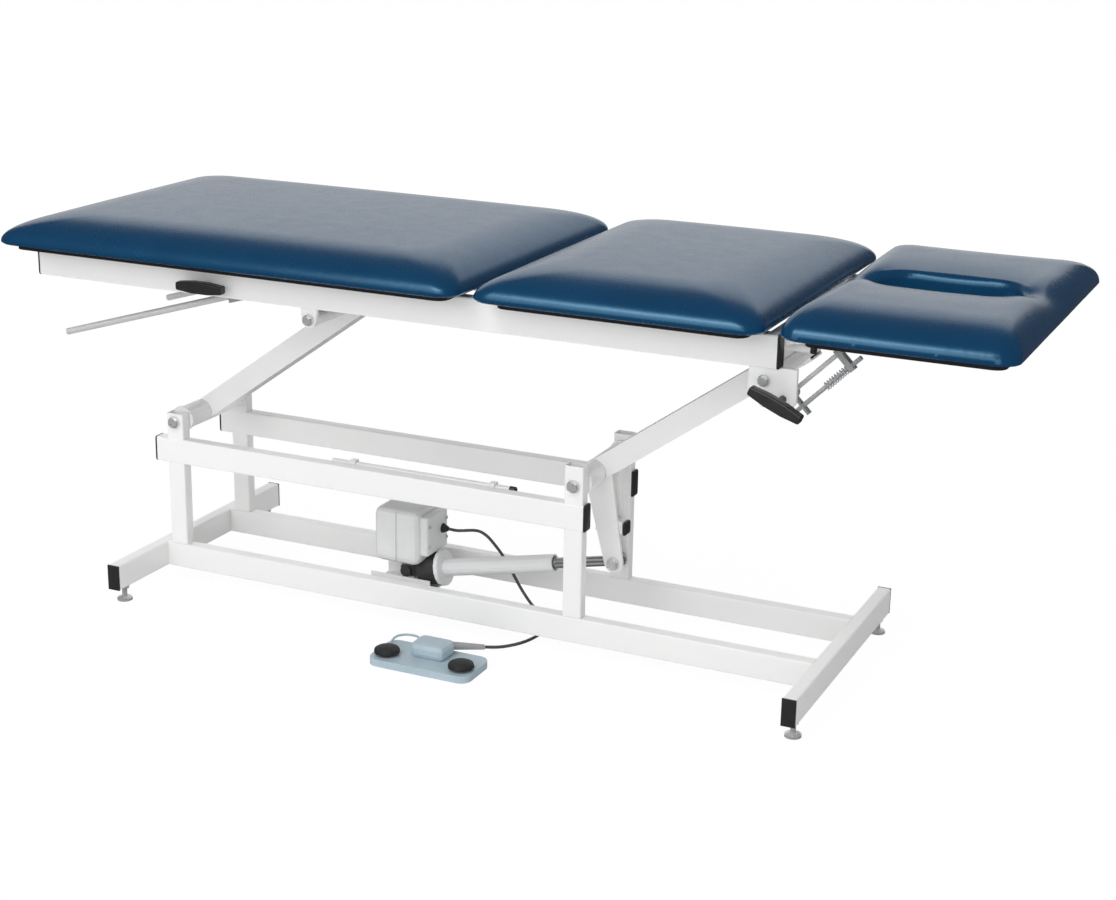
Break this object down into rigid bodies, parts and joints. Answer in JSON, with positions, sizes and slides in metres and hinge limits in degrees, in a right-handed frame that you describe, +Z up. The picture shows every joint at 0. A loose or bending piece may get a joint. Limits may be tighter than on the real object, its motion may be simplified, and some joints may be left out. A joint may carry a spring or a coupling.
{
  "type": "treatment table",
  "caption": "Powered treatment table: padded three-section top on a parallel-arm lift, with a tilting foot section, a tilting head section with a face slot, and a foot pedal",
  "frame": {"origin": "on the floor under the middle of the top", "axes": "+X toward the head end along the table, +Y across to the far side, +Z up"},
  "size_m": [1.93, 0.686, 0.7557],
  "materials": {
    "white": "white gloss powder coat",
    "vinyl": "satin navy blue vinyl-coated fabric over foam",
    "board": "dark-sealed plywood",
    "black": "black moulded plastic",
    "zinc": "bright zinc-plated steel",
    "grey": "light grey moulded plastic",
    "steel_grey": "light grey paint",
    "dark_steel": "dark grey paint",
    "cast": "grey-green paint on cast metal",
    "rubber": "black rubber",
    "chrome": "hard chrome"
  },
  "bodies": {
    "base": {"base_frame": "white", "base_end_cap_foot_near": "black", "base_end_cap_foot_far": "black", "base_end_cap_head_near": "black", "base_end_cap_head_far": "black", "side_frame_near": "white", "side_frame_far": "white", "foot_lower_shaft": "zinc", "head_lower_shaft": "zinc", "actuator_mount": "dark_steel", "side_bar": "white", "pedal_base": "cast", "pedal_strain_relief": "grey", "pedal_cord": "rubber"},
    "leveller_foot_near": {"levelling_foot_foot_near": "zinc"},
    "leveller_foot_far": {"levelling_foot_foot_far": "zinc"},
    "leveller_head_near": {"levelling_foot_head_near": "zinc"},
    "leveller_head_far": {"levelling_foot_head_far": "zinc"},
    "pedal_down": {"pedal_down_pad": "rubber"},
    "pedal_up": {"pedal_up_pad": "rubber"},
    "foot_arm": {"foot_torque_tube": "white", "foot_arm_tube": "white", "foot_top_pivot_tube": "white"},
    "head_arm": {"lift_lever": "white", "head_arm_tube": "white", "head_top_pivot_tube": "white", "lever_pin": "zinc"},
    "actuator_rod": {"actuator_rod": "chrome"},
    "actuator_body": {"actuator_lead_screw": "zinc", "actuator_barrel": "steel_grey", "actuator_gear_case": "dark_steel", "actuator_motor": "grey", "actuator_rear_fork": "dark_steel", "cord_gland": "rubber"},
    "top_frame": {"top_rail_near": "white", "top_rail_far": "white", "top_cross_tube_foot": "white", "top_cross_tube_head": "white", "mid_board": "board", "mid_cushion": "vinyl", "foot_hinge_fixed_leaf": "zinc", "foot_upper_shaft": "zinc", "head_upper_shaft": "zinc"},
    "foot_section": {"foot_board": "board", "foot_cushion": "vinyl", "foot_hinge_moving_leaf": "zinc", "foot_rod_bracket": "white"},
    "foot_rods": {"foot_support_rod_near": "zinc", "foot_support_rod_far": "zinc"},
    "foot_clamp": {"foot_clamp_saddle_near": "zinc", "foot_clamp_saddle_far": "zinc"},
    "foot_clamp_handle": {"foot_clamp_handle": "black"},
    "head_section": {"head_board": "board", "head_cushion": "vinyl", "head_bracket_frame": "white"},
    "head_strut": {"head_strut_inner_rod": "zinc", "head_strut_outer_rod": "zinc", "head_strut_spring": "zinc"},
    "head_clamp": {"head_clamp_block": "zinc"},
    "head_clamp_handle": {"head_clamp_handle": "black"}
  },
  "joints": [
    {"name": "lift", "type": "hinge", "parent": "base", "child": "foot_arm", "pos_m": [-0.7175, 0, 0.334], "axis": [0, -1, 0], "range_deg": [-35, 41]},
    {"name": "top_level", "type": "hinge", "parent": "foot_arm", "child": "top_frame", "pos_m": [-0.32835, 0, 0.61158], "axis": [0, -1, 0], "range_deg": [-41, 35]},
    {"name": "head_arm_lift", "type": "hinge", "parent": "base", "child": "head_arm", "pos_m": [0.1425, 0, 0.334], "axis": [0, -1, 0], "range_deg": [-35, 41]},
    {"name": "actuator_rod_swing", "type": "hinge", "parent": "head_arm", "child": "actuator_rod", "pos_m": [0.1795, 0, 0.157], "axis": [0, -1, 0], "range_deg": [-40.3, 34.5]},
    {"name": "actuator_extension", "type": "slide", "parent": "actuator_rod", "child": "actuator_body", "axis": [-0.9781, 0, -0.2079], "range_m": [-0.104, 0.122]},
    {"name": "foot_section_tilt", "type": "hinge", "parent": "top_frame", "child": "foot_section", "pos_m": [0.024, 0, 0.69738], "axis": [0, 1, 0], "range_deg": [0, 70]},
    {"name": "foot_rods_swing", "type": "hinge", "parent": "foot_section", "child": "foot_rods", "pos_m": [-0.338, 0, 0.67788], "axis": [0, -1, 0], "range_deg": [0, 98.9]},
    {"name": "foot_clamp_swing", "type": "hinge", "parent": "top_frame", "child": "foot_clamp", "pos_m": [-0.537, 0, 0.65408], "axis": [0, -1, 0], "range_deg": [0, 28.9]},
    {"name": "foot_clamp_handle_turn", "type": "hinge", "parent": "top_frame", "child": "foot_clamp_handle", "pos_m": [-0.537, 0, 0.65408], "axis": [0, -1, 0], "range_deg": [-30, 30]},
    {"name": "head_section_tilt", "type": "hinge", "parent": "top_frame", "child": "head_section", "pos_m": [0.565, 0, 0.68008], "axis": [0, -1, 0], "range_deg": [-30, 25]},
    {"name": "head_strut_swing", "type": "hinge", "parent": "head_section", "child": "head_strut", "pos_m": [0.661, 0, 0.68008], "axis": [0, -1, 0], "range_deg": [-12.5, 15]},
    {"name": "head_clamp_swing", "type": "hinge", "parent": "top_frame", "child": "head_clamp", "pos_m": [0.565, 0, 0.58408], "axis": [0, -1, 0], "range_deg": [-15, 12.5]},
    {"name": "head_clamp_handle_turn", "type": "hinge", "parent": "top_frame", "child": "head_clamp_handle", "pos_m": [0.565, 0, 0.58408], "axis": [0, -1, 0], "range_deg": [-90, 90]},
    {"name": "pedal_down_press", "type": "slide", "parent": "base", "child": "pedal_down", "axis": [0, 0, -1], "range_m": [0, 0.004], "stiffness_N_per_m": 800, "springref_m": -0.001},
    {"name": "pedal_up_press", "type": "slide", "parent": "base", "child": "pedal_up", "axis": [0, 0, -1], "range_m": [0, 0.004], "stiffness_N_per_m": 800, "springref_m": -0.001},
    {"name": "leveller_foot_near_turn", "type": "hinge", "parent": "base", "child": "leveller_foot_near", "pos_m": [-0.7584, -0.2555, 0.01], "axis": [0, 0, 1], "continuous": true},
    {"name": "leveller_foot_far_turn", "type": "hinge", "parent": "base", "child": "leveller_foot_far", "pos_m": [-0.7584, 0.2555, 0.01], "axis": [0, 0, 1], "continuous": true},
    {"name": "leveller_head_near_turn", "type": "hinge", "parent": "base", "child": "leveller_head_near", "pos_m": [0.6163, -0.2555, 0.01], "axis": [0, 0, 1], "continuous": true},
    {"name": "leveller_head_far_turn", "type": "hinge", "parent": "base", "child": "leveller_head_far", "pos_m": [0.6163, 0.2555, 0.01], "axis": [0, 0, 1], "continuous": true}
  ],
  "couplings": [
    {"joint": "top_level", "follows": "lift", "ratio": -1},
    {"joint": "head_arm_lift", "follows": "lift", "ratio": 1},
    {"joint": "actuator_rod_swing", "follows": "lift", "ratio": -0.98},
    {"joint": "actuator_extension", "follows": "lift", "m_per_rad": 0.169},
    {"joint": "foot_rods_swing", "follows": "foot_section_tilt", "ratio": 1.4121},
    {"joint": "foot_clamp_swing", "follows": "foot_section_tilt", "ratio": 0.41209},
    {"joint": "head_strut_swing", "follows": "head_section_tilt", "ratio": -0.5},
    {"joint": "head_clamp_swing", "follows": "head_section_tilt", "ratio": 0.5}
  ]
}
